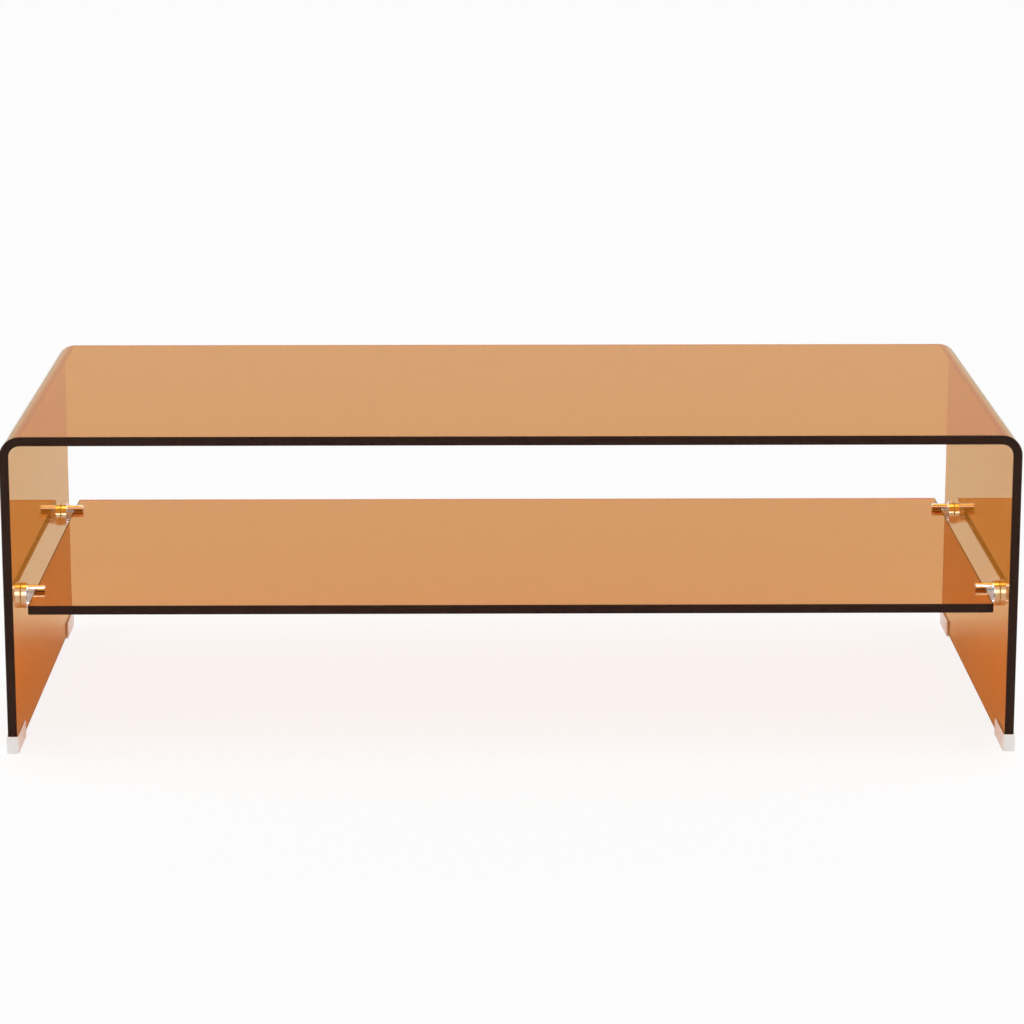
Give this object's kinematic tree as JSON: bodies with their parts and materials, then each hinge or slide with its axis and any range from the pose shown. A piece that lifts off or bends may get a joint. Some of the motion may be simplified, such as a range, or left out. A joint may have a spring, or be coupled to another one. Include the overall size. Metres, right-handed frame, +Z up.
{
  "type": "waterfall coffee table",
  "caption": "Low coffee table of one amber glass sheet bent down into its legs, with a glass shelf held between chrome pin clamps and milky plastic corner feet.",
  "frame": {"origin": "on the floor, under the middle of the table", "axes": "+X along the length of the top, +Y from the front to the rear, +Z up"},
  "size_m": [1.1038, 0.5538, 0.353],
  "materials": {
    "amber_glass": "clear amber float glass with polished edges",
    "chrome": "polished chrome",
    "milky_plastic": "soft milky moulded plastic",
    "white_nylon": "white nylon",
    "black_rubber": "matte black rubber",
    "clear_adhesive": "clear cured adhesive"
  },
  "bodies": {
    "root": {"bent_glass_top_and_legs": "amber_glass", "glass_shelf": "amber_glass", "bond_film_front_left": "clear_adhesive", "clamp_base_front_left": "chrome", "end_buffer_front_left": "white_nylon", "corner_foot_front_left": "milky_plastic", "upper_pin_front_left": "chrome", "lower_pin_front_left": "chrome", "upper_pad_front_left": "black_rubber", "lower_pad_front_left": "black_rubber", "bond_film_front_right": "clear_adhesive", "clamp_base_front_right": "chrome", "end_buffer_front_right": "white_nylon", "corner_foot_front_right": "milky_plastic", "upper_pin_front_right": "chrome", "lower_pin_front_right": "chrome", "upper_pad_front_right": "black_rubber", "lower_pad_front_right": "black_rubber", "bond_film_rear_left": "clear_adhesive", "clamp_base_rear_left": "chrome", "end_buffer_rear_left": "white_nylon", "corner_foot_rear_left": "milky_plastic", "upper_pin_rear_left": "chrome", "lower_pin_rear_left": "chrome", "upper_pad_rear_left": "black_rubber", "lower_pad_rear_left": "black_rubber", "bond_film_rear_right": "clear_adhesive", "clamp_base_rear_right": "chrome", "end_buffer_rear_right": "white_nylon", "corner_foot_rear_right": "milky_plastic", "upper_pin_rear_right": "chrome", "lower_pin_rear_right": "chrome", "upper_pad_rear_right": "black_rubber", "lower_pad_rear_right": "black_rubber"}
  },
  "joints": []
}
